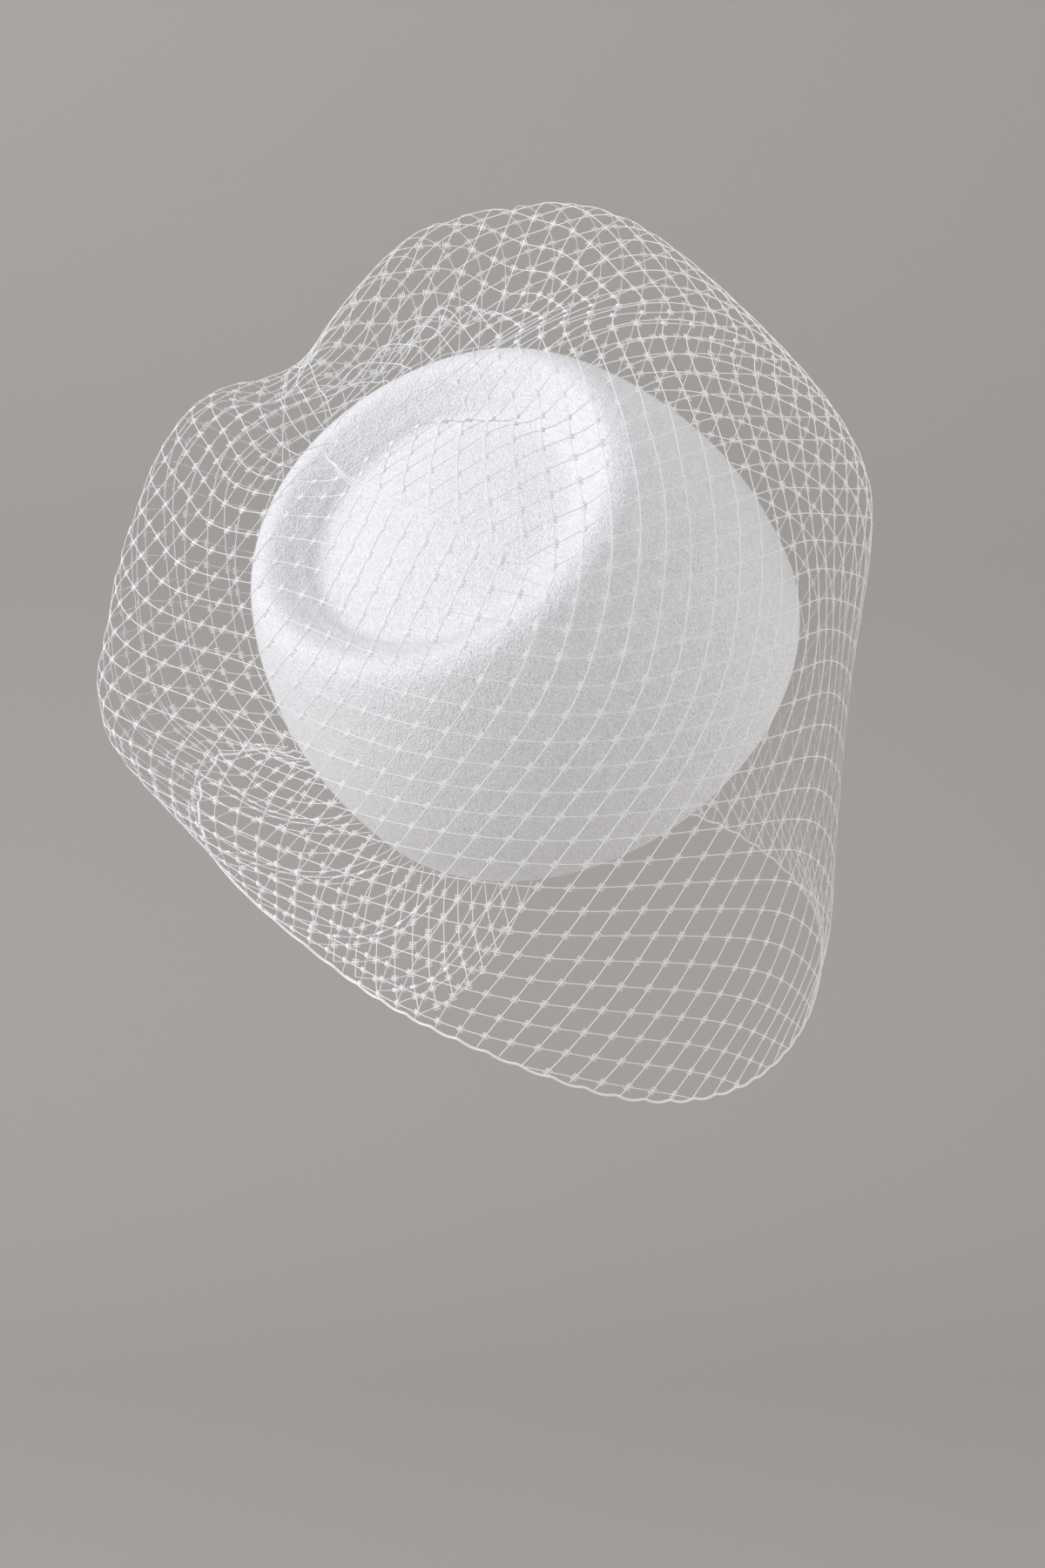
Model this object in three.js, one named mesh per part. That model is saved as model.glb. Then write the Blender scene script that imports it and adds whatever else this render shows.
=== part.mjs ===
// A blocked felt pillbox hat with a birdcage veil, in millimetres, +Z up, as it is worn.
// The wearer's face looks along -Y and the wearer's left is +X. The origin is the middle of the head opening.
import * as THREE from 'three';
import { mergeVertices } from 'three/addons/utils/BufferGeometryUtils.js';

// How the hat sits: it leans over the wearer's right side, and its oval runs from front to back.
const HAT_LEAN = THREE.MathUtils.degToRad(42.6);
const OVAL = 1.13;
const FELT_THICKNESS = 2.5;
const RIM_ROUNDING = 1;
const CROWN_SIDES = 48;
const STEPS_PER_SECTION = 2;

// The felt from the domed middle of the dish over the soft edge to the head opening.
// Each row gives half the width across the oval, and the height over the opening.
const CREST_HEIGHT = 88;
const DISH_DEPTH = 10;
const CREST_SHIFT = 4;
const FELT_SECTIONS = [
  { name: 'dish middle', half: 0, height: CREST_HEIGHT - 0.45 * DISH_DEPTH },
  { name: 'dish slope', half: 22, height: CREST_HEIGHT - 0.66 * DISH_DEPTH },
  { name: 'dish groove', half: 42, height: CREST_HEIGHT - DISH_DEPTH },
  { name: 'dish wall', half: 49.5, height: CREST_HEIGHT - 0.6 * DISH_DEPTH },
  { name: 'dish lip', half: 55, height: CREST_HEIGHT - 0.18 * DISH_DEPTH },
  { name: 'crest', half: 59.5, height: CREST_HEIGHT },
  { name: 'edge end', half: 64.4, height: 86.6 },
  { name: 'edge', half: 68.2, height: 82.5 },
  { name: 'edge start', half: 72.6, height: 75 },
  { name: 'shoulder', half: 78.3, height: 62 },
  { name: 'high wall', half: 83, height: 46 },
  { name: 'mid wall', half: 85.6, height: 31 },
  { name: 'low wall', half: 86.2, height: 16 },
  { name: 'rim', half: 85.3, height: RIM_ROUNDING },
];

// The veil every 30 degrees round the upright axis, from the wearer's left by way of the back.
// Each row gives the net's height over the crown, then the reach and height of its shoulder, fall and hem.
const VEIL_SECTIONS = [
  { at: 'left', crownZ: 148, shoulder: [119, 66], fall: [96, -42], hem: [101, -94] },
  { at: 'left back', crownZ: 147, shoulder: [123, 67], fall: [100, -42], hem: [102, -90] },
  { at: 'back left', crownZ: 137, shoulder: [124, 68], fall: [106, -37], hem: [104, -80] },
  { at: 'back', crownZ: 109, shoulder: [125, 64], fall: [120, -31], hem: [109, -66] },
  { at: 'back right', crownZ: 86, shoulder: [141, 70], fall: [148, -22], hem: [128, -48] },
  { at: 'right back', crownZ: 64, shoulder: [146, 24], fall: [155, -12], hem: [124, -57] },
  { at: 'right', crownZ: 60, shoulder: [116, 10], fall: [119, -32], hem: [101, -84] },
  { at: 'right front', crownZ: 74, shoulder: [115, 22], fall: [112, -44], hem: [103, -96] },
  { at: 'front right', crownZ: 92, shoulder: [108, 35], fall: [107, -58], hem: [104, -115] },
  { at: 'front', crownZ: 109, shoulder: [99, 48], fall: [105, -66], hem: [96, -127] },
  { at: 'front left', crownZ: 120, shoulder: [92, 56], fall: [102, -71], hem: [97, -120] },
  { at: 'left front', crownZ: 127, shoulder: [113, 62], fall: [93, -54], hem: [102, -105] },
];
// The share of the way from the tack to the shoulder at which crownZ is measured.
const CROWN_SHARE = 0.55;

// The tack that gathers the net inside the back of the dish, across and behind the crown's axis.
const TACK_ACROSS = 13;
const TACK_BEHIND = 50;

// Folds pressed into the net: bearing and half width in turns, depth,
// and the shares of the way from the tack to the hem where they begin and end.
const FOLDS = [
  { name: 'valley before the high puff', turn: 0.975, halfTurn: 0.04, depth: 6, begin: 0.02, end: 0.3 },
  { name: 'fold under the high puff', turn: 0.05, halfTurn: 0.08, depth: 26, begin: 0.11, end: 0.25 },
  { name: 'fold behind the crest', turn: 0.17, halfTurn: 0.08, depth: 28, begin: 0.075, end: 0.22 },
  { name: 'pleat across the dish', turn: 0.72, halfTurn: 0.03, depth: 9, begin: 0.02, end: 0.36 },
  { name: 'pinch behind the crest', turn: 0.29, halfTurn: 0.03, depth: 14, begin: 0.12, end: 0.42 },
];

// The netting stands as a wall cut through in diamonds, from a small sewn patch at the tack to the hem.
const NET_THICKNESS = 1.2;
const DIAMONDS_ROUND = 12;
const DIAMOND_ROWS = 9;
const ROW_CROWDING = 1.35;
const GAP_SHARE = 0.86;
const PATCH_SHARE = 0.025;
const PATCH_CLEARANCE = 5.2;
const NET_CLEARANCE = 8.6;
const CLEARANCE_SHARE = 0.08;

const felt = new THREE.MeshStandardMaterial({ color: 0xf0eeee, roughness: 0.95, metalness: 0 });
const netting = new THREE.MeshStandardMaterial({ color: 0xf4f3f2, roughness: 0.7, metalness: 0 });

const feltCurve = new THREE.SplineCurve(
  FELT_SECTIONS.map((section) => new THREE.Vector2(section.half, section.height)),
);

// The section of the felt wall: from the dish down the outside, round the rim and up the inside to the axis.
function feltOutline() {
  const steps = (FELT_SECTIONS.length - 1) * STEPS_PER_SECTION;
  const outside = [];
  const inside = [];
  for (let step = 0; step <= steps; step += 1) {
    const point = feltCurve.getPoint(step / steps);
    const tangent = step === 0 ? new THREE.Vector2(1, 0) : feltCurve.getTangent(step / steps);
    const inward = new THREE.Vector2(tangent.y, -tangent.x).multiplyScalar(FELT_THICKNESS);
    outside.push(point);
    inside.unshift(point.clone().add(inward));
  }
  const rim = outside[steps];
  const edge = [0.3, 0.7].map(
    (share) => new THREE.Vector2(rim.x - share * FELT_THICKNESS, rim.y - RIM_ROUNDING),
  );
  return [...outside, ...edge, ...inside];
}

// Turns the wall's section into the oval crown, whose crest stands a little to the wearer's left.
function crownGeometry() {
  const geometry = new THREE.LatheGeometry(feltOutline().reverse(), CROWN_SIDES);
  geometry.rotateX(Math.PI / 2);
  geometry.scale(1, OVAL, 1);
  geometry.applyMatrix4(new THREE.Matrix4().makeShear(0, 0, 0, 0, CREST_SHIFT / CREST_HEIGHT, 0));
  return geometry;
}

const hat = new THREE.Group();
hat.rotation.y = -HAT_LEAN;
const crown = new THREE.Mesh(crownGeometry(), felt);
crown.name = 'crown';
hat.add(crown);
hat.updateMatrix();
const intoHat = hat.matrix.clone().invert();

// How far the felt reaches from a point inside the crown, by the angle of a ray in the plane of its section.
const FELT_CORE = new THREE.Vector2(0, 35);
const feltReaches = feltCurve.getPoints(200).map((point) => {
  const ray = point.clone().sub(FELT_CORE);
  return { angle: Math.atan2(ray.y, ray.x), reach: ray.length() };
});

function feltReach(angle) {
  const after = feltReaches.findIndex((sample) => sample.angle <= angle);
  if (after < 0) return 0;
  const to = feltReaches[Math.max(after, 1)];
  const from = feltReaches[Math.max(after, 1) - 1];
  return THREE.MathUtils.mapLinear(angle, from.angle, to.angle, from.reach, to.reach);
}

// A place in the round, upright crown that the oval, shifted and leaning one is made from, and back.
function roundFromWorn(point) {
  const local = point.clone().applyMatrix4(intoHat);
  local.x -= (CREST_SHIFT * local.z) / CREST_HEIGHT;
  local.y /= OVAL;
  return local;
}

function wornFromRound(point) {
  const local = point.clone();
  local.x += (CREST_SHIFT * local.z) / CREST_HEIGHT;
  local.y *= OVAL;
  return local.applyMatrix4(hat.matrix);
}

// Moves a point of the net out along its ray until it clears the felt.
function clearOfFelt(point, clearance) {
  const round = roundFromWorn(point);
  const ray = new THREE.Vector2(Math.hypot(round.x, round.y), round.z).sub(FELT_CORE);
  const limit = feltReach(Math.atan2(ray.y, ray.x));
  if (limit === 0 || ray.length() >= limit + clearance) return point;
  const core = new THREE.Vector3(0, 0, FELT_CORE.y);
  round.sub(core).multiplyScalar((limit + clearance) / ray.length()).add(core);
  return wornFromRound(round);
}

// The tack lies on the dish, just clear of the felt.
const tack = clearOfFelt(
  wornFromRound(new THREE.Vector3(TACK_ACROSS, TACK_BEHIND / OVAL, CREST_HEIGHT - DISH_DEPTH)),
  PATCH_CLEARANCE,
);

// Closed rings of the veil: over the crown, at the shoulder, on the fall and at the hem.
function ring(place) {
  const points = VEIL_SECTIONS.map((section, row) => {
    const bearing = (row / VEIL_SECTIONS.length) * 2 * Math.PI;
    return place(section, new THREE.Vector3(Math.cos(bearing), Math.sin(bearing), 0));
  });
  return new THREE.CatmullRomCurve3(points, true, 'catmullrom');
}

function placed([reach, height], way) {
  return way.clone().multiplyScalar(reach).setZ(height);
}

const veilRings = [
  ring(({ crownZ, shoulder }, way) => tack.clone().lerp(placed(shoulder, way), CROWN_SHARE).setZ(crownZ)),
  ring(({ shoulder }, way) => placed(shoulder, way)),
  ring(({ fall }, way) => placed(fall, way)),
  ring(({ hem }, way) => placed(hem, way)),
];

// How deep the folds lie at a bearing, and at a share of the way from the tack to the hem.
function foldDepth(turn, share) {
  let depth = 0;
  for (const fold of FOLDS) {
    const away = Math.abs(turn - fold.turn);
    const across = Math.min(away, 1 - away) / fold.halfTurn;
    const along = (share - fold.begin) / (fold.end - fold.begin);
    if (along <= 0 || along >= 1) continue;
    depth += fold.depth * Math.exp(-(across ** 2)) * Math.sin(Math.PI * along) ** 2;
  }
  return depth;
}

// A point of the veil at a bearing, in turns, and at a share of the way from the tack to the hem.
function veilPoint(turn, share) {
  const bearing = turn - Math.floor(turn);
  const meridian = new THREE.CatmullRomCurve3(
    [tack, ...veilRings.map((curve) => curve.getPoint(bearing))],
    false,
    'catmullrom',
  );
  const point = meridian.getPoint(share);
  point.z -= foldDepth(bearing, share);
  const spread = THREE.MathUtils.smoothstep(share, PATCH_SHARE, CLEARANCE_SHARE);
  return clearOfFelt(point, THREE.MathUtils.lerp(PATCH_CLEARANCE, NET_CLEARANCE, spread));
}

// The way out of the veil at a point, from its slopes along and across the meridian.
function veilNormal(turn, share) {
  if (share === 0) return new THREE.Vector3(0, 0, 1).transformDirection(hat.matrix);
  const step = 0.004;
  const across = veilPoint(turn + step, share).sub(veilPoint(turn - step, share));
  const lower = Math.min(share + step, 1);
  const upper = Math.max(share - step, 0);
  const along = veilPoint(turn, lower).sub(veilPoint(turn, upper));
  return along.cross(across).normalize();
}

// Gathers the two faces and the cut edges of a thin wall as loose triangles.
class Wall {
  constructor(thickness) {
    this.half = thickness / 2;
    this.positions = [];
  }

  face(corner, sign) {
    return veilPoint(...corner).addScaledVector(veilNormal(...corner), sign * this.half);
  }

  triangle(a, b, c) {
    for (const point of [a, b, c]) this.positions.push(point.x, point.y, point.z);
  }

  // A flat piece of the wall, given by its corners in order round the outer face.
  patch(corners) {
    for (const [sign, order] of [[1, corners], [-1, [...corners].reverse()]]) {
      const [first, ...rest] = order.map((corner) => this.face(corner, sign));
      for (let next = 1; next < rest.length; next += 1) this.triangle(first, rest[next - 1], rest[next]);
    }
  }

  // The cut edge from one corner to the next, with the wall on its left seen from outside.
  edge(from, to) {
    const [outFrom, outTo] = [from, to].map((corner) => this.face(corner, 1));
    const [inFrom, inTo] = [from, to].map((corner) => this.face(corner, -1));
    this.triangle(outFrom, inFrom, inTo);
    this.triangle(outFrom, inTo, outTo);
  }

  geometry() {
    const geometry = new THREE.BufferGeometry();
    geometry.setAttribute('position', new THREE.Float32BufferAttribute(this.positions, 3));
    return mergeVertices(geometry, 1e-3);
  }
}

// A lattice crossing: columns count half diamonds round the veil, rows count down from the patch to the hem.
function crossing(column, row) {
  const share = PATCH_SHARE + (1 - PATCH_SHARE) * (row / (DIAMOND_ROWS + 1)) ** ROW_CROWDING;
  return [column / (2 * DIAMONDS_ROUND), share];
}

const between = (from, to, share) => from.map((value, axis) => value + (to[axis] - value) * share);

// The corners of a cell with the middle of each side added.
function withMiddles(corners) {
  return corners.flatMap((corner, index) => {
    const next = corners[(index + 1) % corners.length];
    return [corner, between(corner, next, 0.5)];
  });
}

// One cell of net, with its gap cut through. The hem runs along the sides from hemFrom on.
function addCell(wall, corners, hemFrom = Infinity) {
  const total = (axis) => corners.reduce((sum, corner) => sum + corner[axis], 0);
  const middle = [total(0) / corners.length, total(1) / corners.length];
  const outer = withMiddles(corners);
  const inner = outer.map((corner) => between(middle, corner, GAP_SHARE));
  outer.forEach((corner, index) => {
    const next = (index + 1) % outer.length;
    wall.patch([corner, outer[next], inner[next], inner[index]]);
    wall.edge(inner[next], inner[index]);
    if (index >= hemFrom) wall.edge(corner, outer[next]);
  });
}

function addDiamond(wall, column, row) {
  addCell(wall, [
    crossing(column - 1, row),
    crossing(column, row + 1),
    crossing(column + 1, row),
    crossing(column, row - 1),
  ]);
}

// A half diamond above the hem, whose last two sides are the hem itself.
function addHemCell(wall, column) {
  const row = DIAMOND_ROWS + 1;
  addCell(wall, [crossing(column + 1, row), crossing(column, row - 1), crossing(column - 1, row)], 4);
}

// The sewn patch: a wedge from the tack out to the first crossings, with the half diamond beyond it filled.
function addPatch(wall, column) {
  const [left, right, tip] = [crossing(column - 1, 0), crossing(column + 1, 0), crossing(column, 1)];
  wall.patch([left, right, [0, 0]]);
  wall.patch([right, left, between(left, tip, 0.5), tip, between(tip, right, 0.5)]);
}

function veilGeometry() {
  const wall = new Wall(NET_THICKNESS);
  for (let column = 0; column < 2 * DIAMONDS_ROUND; column += 1) {
    for (let row = 1; row <= DIAMOND_ROWS; row += 1) {
      if ((column + row) % 2 === 1) addDiamond(wall, column, row);
    }
    if (column % 2 === 1) addPatch(wall, column);
    if ((column + DIAMOND_ROWS) % 2 === 0) addHemCell(wall, column);
  }
  return wall.geometry();
}

const veil = new THREE.Mesh(veilGeometry(), netting);
veil.name = 'veil';

const veiledHat = new THREE.Group();
veiledHat.add(hat, veil);

export default veiledHat;
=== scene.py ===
# %% [markdown]
# # A felt pillbox hat under a birdcage veil
# The hat is one blocked piece of white wool felt with a dished oval top. A square-meshed net is pulled
# over it, gathered at a tack inside the dish, and hangs round the face as a veil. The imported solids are
# the frame of this scene: every piece below is made in metres, in the same axes, and goes where the solids
# say. Sizes are written in millimetres, as on a pattern, and turned into metres once.

import math

import bmesh
import bpy
import numpy as np
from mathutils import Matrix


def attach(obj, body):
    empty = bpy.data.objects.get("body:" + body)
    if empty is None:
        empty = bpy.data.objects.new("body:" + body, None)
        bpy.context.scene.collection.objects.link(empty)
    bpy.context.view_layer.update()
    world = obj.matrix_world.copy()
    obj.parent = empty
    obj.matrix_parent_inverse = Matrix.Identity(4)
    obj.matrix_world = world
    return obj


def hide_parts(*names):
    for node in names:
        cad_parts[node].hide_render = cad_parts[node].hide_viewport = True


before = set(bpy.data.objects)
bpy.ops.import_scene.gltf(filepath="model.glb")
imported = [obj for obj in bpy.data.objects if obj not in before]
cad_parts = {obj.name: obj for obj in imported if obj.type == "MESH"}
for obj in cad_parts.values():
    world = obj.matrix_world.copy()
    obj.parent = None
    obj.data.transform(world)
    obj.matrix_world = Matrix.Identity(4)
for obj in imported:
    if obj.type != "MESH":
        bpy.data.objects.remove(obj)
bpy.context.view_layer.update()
scene = bpy.context.scene
MM = 0.001

# %% [markdown]
# ## The camera
# The veil is judged by how its outline and its crossings line up, so the camera comes first. A normal lens
# at about three quarters of a metre, a little above the hat and towards the wearer's right, gives the same
# perspective as a portrait of the hat on a table.

# %% Camera
LENS = 50
SENSOR = 36
CAMERA_PLACE = (-0.5091, -0.5113, 0.2505)
CAMERA_PITCH = math.radians(67.7)
CAMERA_TURN = math.radians(-44)


def add_camera():
    data = bpy.data.cameras.new("camera")
    data.lens = LENS
    data.sensor_width = SENSOR
    camera = bpy.data.objects.new("camera", data)
    camera.location = CAMERA_PLACE
    camera.rotation_euler = (CAMERA_PITCH, 0, CAMERA_TURN)
    scene.collection.objects.link(camera)
    scene.camera = camera
    return camera


print("camera at", tuple(add_camera().location))

# %% [markdown]
# ## Writing shaders as sums
# A material graph is easier to read as arithmetic. The small class below wraps one output socket, so that
# `0.9 - 0.1 * mask` adds its own Math nodes, and one method adds any other kind of node.


# %% Shader arithmetic
class Wire:
    """An output socket of a node tree, or the bare tree, from which more nodes are added."""

    def __init__(self, tree, socket=None):
        self.tree = tree
        self.socket = socket

    def node(self, kind, settings=None, sockets=None, out=0):
        """Adds a node, sets it up, fills or links its inputs and returns one of its outputs."""
        made = self.tree.nodes.new(kind)
        for name, value in (settings or {}).items():
            setattr(made, name, value)
        for name, value in (sockets or {}).items():
            if isinstance(value, Wire):
                self.tree.links.new(value.socket, made.inputs[name])
            else:
                made.inputs[name].default_value = value
        return Wire(self.tree, made.outputs[out])

    def math(self, operation, first, second):
        return self.node("ShaderNodeMath", {"operation": operation}, {0: first, 1: second})

    def __add__(self, other):
        return self.math("ADD", self, other)

    def __radd__(self, other):
        return self.math("ADD", other, self)

    def __sub__(self, other):
        return self.math("SUBTRACT", self, other)

    def __rsub__(self, other):
        return self.math("SUBTRACT", other, self)

    def __mul__(self, other):
        return self.math("MULTIPLY", self, other)

    def __rmul__(self, other):
        return self.math("MULTIPLY", other, self)


def new_material(name):
    """An empty material, its surface shader and the Object coordinates that its patterns are drawn in."""
    material = bpy.data.materials.new(name)
    material.use_nodes = True
    tree = material.node_tree
    shader = tree.nodes["Principled BSDF"]
    place = Wire(tree).node("ShaderNodeTexCoord", out="Object")
    return material, shader, place


def feed(shader, name, wire):
    shader.id_data.links.new(wire.socket, shader.inputs[name])


def noise(place, size_mm, detail=2.0):
    """A cloud pattern whose lumps are about the given size."""
    sockets = {"Vector": place, "Scale": 1 / (size_mm * MM), "Detail": detail}
    return place.node("ShaderNodeTexNoise", None, sockets, "Fac")


def blend_colours(factor, first, second):
    sockets = {"Factor": factor, 6: first, 7: second}
    return factor.node("ShaderNodeMix", {"data_type": "RGBA"}, sockets, 2)


def emboss(shader, height, depth_mm, strength):
    """Bends the shader's normals by a height pattern of the given depth."""
    sockets = {"Height": height, "Strength": strength, "Distance": depth_mm * MM}
    feed(shader, "Normal", height.node("ShaderNodeBump", None, sockets))


print("shader arithmetic ready")

# %% [markdown]
# ## The felt
# Wool felt has no weave: fibres lie in every direction, pressed into a sheet, with a short nap that
# catches light at grazing angles. Its colour is nearly even, so the look comes from three things: a soft
# sheen, a very fine bump from the fibres, and faint clouds where the felt is a little denser. Fibres and
# clouds are set in real sizes.

# %% Felt material
FELT_WHITE = (0.87, 0.866, 0.87, 1)
FELT_GREY = (0.53, 0.526, 0.53, 1)
FIBRE_SIZE = 0.7
PILL_SIZE = 2.8
CLOUD_SIZE = 16
FIBRE_SHADE = 1.25
PILL_SHADE = 0.25
CLOUD_SHADE = 0.1
SHADE_FROM = 0.3
FIBRE_SMOOTHNESS = 0.15
FELT_RELIEF = 0.6
FIBRE_RISE = 0.8
PILL_RISE = 0.4
FELT_SHEEN = 0.35
SHEEN_SPREAD = 0.45
FELT_GLOSS = 0.2


def felt_material():
    material, shader, place = new_material("white_felt")
    fibres = noise(place, FIBRE_SIZE)
    pills = noise(place, PILL_SIZE)
    clouds = noise(place, CLOUD_SIZE)
    shade = FIBRE_SHADE * fibres + PILL_SHADE * pills + CLOUD_SHADE * clouds - SHADE_FROM
    feed(shader, "Base Color", blend_colours(shade, FELT_GREY, FELT_WHITE))
    feed(shader, "Roughness", 1.0 - FIBRE_SMOOTHNESS * fibres)
    emboss(shader, FIBRE_RISE * fibres + PILL_RISE * pills, FELT_RELIEF, 1.0)
    shader.inputs["Sheen Weight"].default_value = FELT_SHEEN
    shader.inputs["Sheen Roughness"].default_value = SHEEN_SPREAD
    shader.inputs["Specular IOR Level"].default_value = FELT_GLOSS
    return material


felt = felt_material()
print("material", felt.name, "with", len(felt.node_tree.nodes), "nodes")

# %% [markdown]
# ## The crown
# The felt is pulled over an oval block, so every level cut through it is the same oval. A lathe suits it:
# one section is turned round the axis, stretched into the oval, sheared so that its crest stands over to
# one side, and leant over the wearer's right. The dish has a low dome in its middle and a groove round it,
# left by the block. The solid has few faces, so the crown is turned again here from the same sizes with
# many more. A slow wave of under half a millimetre keeps it from looking machined.

# %% Smooth curves through a few points


def smooth_through(points, places, ends="free"):
    """A uniform Catmull-Rom curve through the points along the first axis, at places counted in points."""
    if ends == "closed":
        before, after = points[-1:], points[:2]
    elif ends == "held":
        before, after = points[:1], points[-1:]
    else:
        before, after = 2 * points[:1] - points[1:2], 2 * points[-1:] - points[-2:-1]
    row = np.concatenate([before, points, after])
    first = np.clip(np.floor(places).astype(int), 0, len(row) - 4)
    share = (places - first).reshape(-1, *[1] * (points.ndim - 1))
    a, b, c, d = (row[first + step] for step in range(4))
    linear = c - a
    square = 2 * a - 5 * b + 4 * c - d
    cube = 3 * b - a - 3 * c + d
    return 0.5 * (2 * b + linear * share + square * share**2 + cube * share**3)


print("a curve through 0, 1, 4 at 1.5:", smooth_through(np.array([[0.0], [1.0], [4.0]]), np.array([1.5]))[0])

# %% Felt section
HAT_LEAN = math.radians(42.6)
OVAL = 1.13
FELT_THICKNESS = 2.5
RIM_ROUNDING = 1.0
CREST_HEIGHT = 88.0
DISH_DEPTH = 10.0
CREST_SHIFT = 4.0
# Half width across and height, from the domed middle of the dish over the soft edge to the rim.
FELT_SECTIONS = np.array([
    (0, CREST_HEIGHT - 0.45 * DISH_DEPTH),
    (22, CREST_HEIGHT - 0.66 * DISH_DEPTH),
    (42, CREST_HEIGHT - DISH_DEPTH),
    (49.5, CREST_HEIGHT - 0.6 * DISH_DEPTH),
    (55, CREST_HEIGHT - 0.18 * DISH_DEPTH),
    (59.5, CREST_HEIGHT),
    (64.4, 86.6),
    (68.2, 82.5),
    (72.6, 75),
    (78.3, 62),
    (83, 46),
    (85.6, 31),
    (86.2, 16),
    (85.3, RIM_ROUNDING),
])
LAST_SECTION = len(FELT_SECTIONS) - 1
STEPS_PER_SECTION = 9
RIM_STEPS = 6


def felt_section(steps):
    return smooth_through(FELT_SECTIONS, np.linspace(0, LAST_SECTION, steps), "held")


def felt_outline():
    """The wall's section: down the outside, round the rim and up the inside to the axis."""
    outside = felt_section(LAST_SECTION * STEPS_PER_SECTION + 1)
    along = np.gradient(outside, axis=0)
    along[0] = (1, 0)
    along /= np.linalg.norm(along, axis=1, keepdims=True)
    inside = outside + FELT_THICKNESS * np.stack([along[:, 1], -along[:, 0]], axis=1)
    turn = np.linspace(0, math.pi, RIM_STEPS + 2)[1:-1]
    middle = (outside[-1] + inside[-1]) / 2
    across = (outside[-1] - inside[-1]) / 2
    sag = np.stack([0 * turn, -RIM_ROUNDING * np.sin(turn)], axis=1)
    rim = middle + np.cos(turn)[:, None] * across + sag
    return np.concatenate([outside, rim, inside[::-1]])


print("felt section of", len(felt_outline()), "points")

# %% Turning the section into the leaning crown
CROWN_SIDES = 176
# Waves in a turn, height in millimetres, start in radians, and twist in radians for each millimetre up.
HAND_WAVES = ((3, 0.25, 0.8, 0.0), (5, 0.175, 2.1, 0.06))
WAVED_FROM = 60.0
MERGE_DISTANCE = 1e-6


def lean(points):
    """From the upright round crown to the oval, sheared and leaning one that is worn."""
    across = points[..., 0] + CREST_SHIFT * points[..., 2] / CREST_HEIGHT
    behind = points[..., 1] * OVAL
    up = points[..., 2]
    cosine, sine = math.cos(HAT_LEAN), math.sin(HAT_LEAN)
    return np.stack([across * cosine - up * sine, behind, across * sine + up * cosine], axis=-1)


def upright(points):
    """The way back from the worn crown to the upright round one."""
    cosine, sine = math.cos(HAT_LEAN), math.sin(HAT_LEAN)
    up = points[..., 2] * cosine - points[..., 0] * sine
    across = points[..., 0] * cosine + points[..., 2] * sine - CREST_SHIFT * up / CREST_HEIGHT
    return np.stack([across, points[..., 1] / OVAL, up], axis=-1)


def hand_wave(turn, height):
    """A slow unevenness of the blocked wall, in millimetres of half width."""
    waves = 0.0
    for count, high, start, twist in HAND_WAVES:
        waves = waves + high * np.sin(count * turn + twist * height + start)
    return waves * np.clip(height / CREST_HEIGHT, 0, 1)


def crown_points():
    outline = felt_outline()
    turn = np.arange(CROWN_SIDES) / CROWN_SIDES * 2 * math.pi
    height = np.broadcast_to(outline[:, 1:2], (len(outline), CROWN_SIDES))
    half = outline[:, 0:1] + hand_wave(turn[None, :], height) * np.minimum(outline[:, 0:1] / WAVED_FROM, 1)
    round_points = np.stack([half * np.cos(turn), half * np.sin(turn), height], axis=-1)
    return lean(round_points) * MM


def ring_faces(rows, sides):
    """Quads between neighbouring rows of points, each row a closed ring."""
    row, side = np.meshgrid(np.arange(rows - 1), np.arange(sides), indexing="ij")
    after = (side + 1) % sides
    corners = [row * sides + side, (row + 1) * sides + side, (row + 1) * sides + after, row * sides + after]
    return np.stack(corners, axis=-1).reshape(-1, 4)


def new_piece(name, vertices, faces, material, edges=()):
    mesh = bpy.data.meshes.new(name)
    mesh.from_pydata(np.asarray(vertices).tolist(), list(edges), [list(face) for face in faces])
    if material:
        mesh.materials.append(material)
    mesh.update()
    piece = bpy.data.objects.new(name, mesh)
    scene.collection.objects.link(piece)
    return piece


def close_poles(mesh):
    """Merges the drawn-in rows at the axis and turns every face outwards."""
    shell = bmesh.new()
    shell.from_mesh(mesh)
    bmesh.ops.remove_doubles(shell, verts=shell.verts, dist=MERGE_DISTANCE)
    bmesh.ops.recalc_face_normals(shell, faces=shell.faces)
    for face in shell.faces:
        face.smooth = True
    shell.to_mesh(mesh)
    shell.free()


def add_crown():
    points = crown_points()
    rows = points.shape[0]
    crown = new_piece("felt_crown", points.reshape(-1, 3), ring_faces(rows, CROWN_SIDES), felt)
    close_poles(crown.data)
    return crown


felt_crown = add_crown()
print("felt crown:", len(felt_crown.data.polygons), "faces")

# %% [markdown]
# ## A tree that grows a nap
# Close up, loose wool fibres stand a little off the felt and soften its outline. They repeat by the
# thousand, so Geometry Nodes scatter them: points on the faces, one thin cone on each, leant over by a
# random angle with a fixed seed, and all made real so that the export keeps them.


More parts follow.
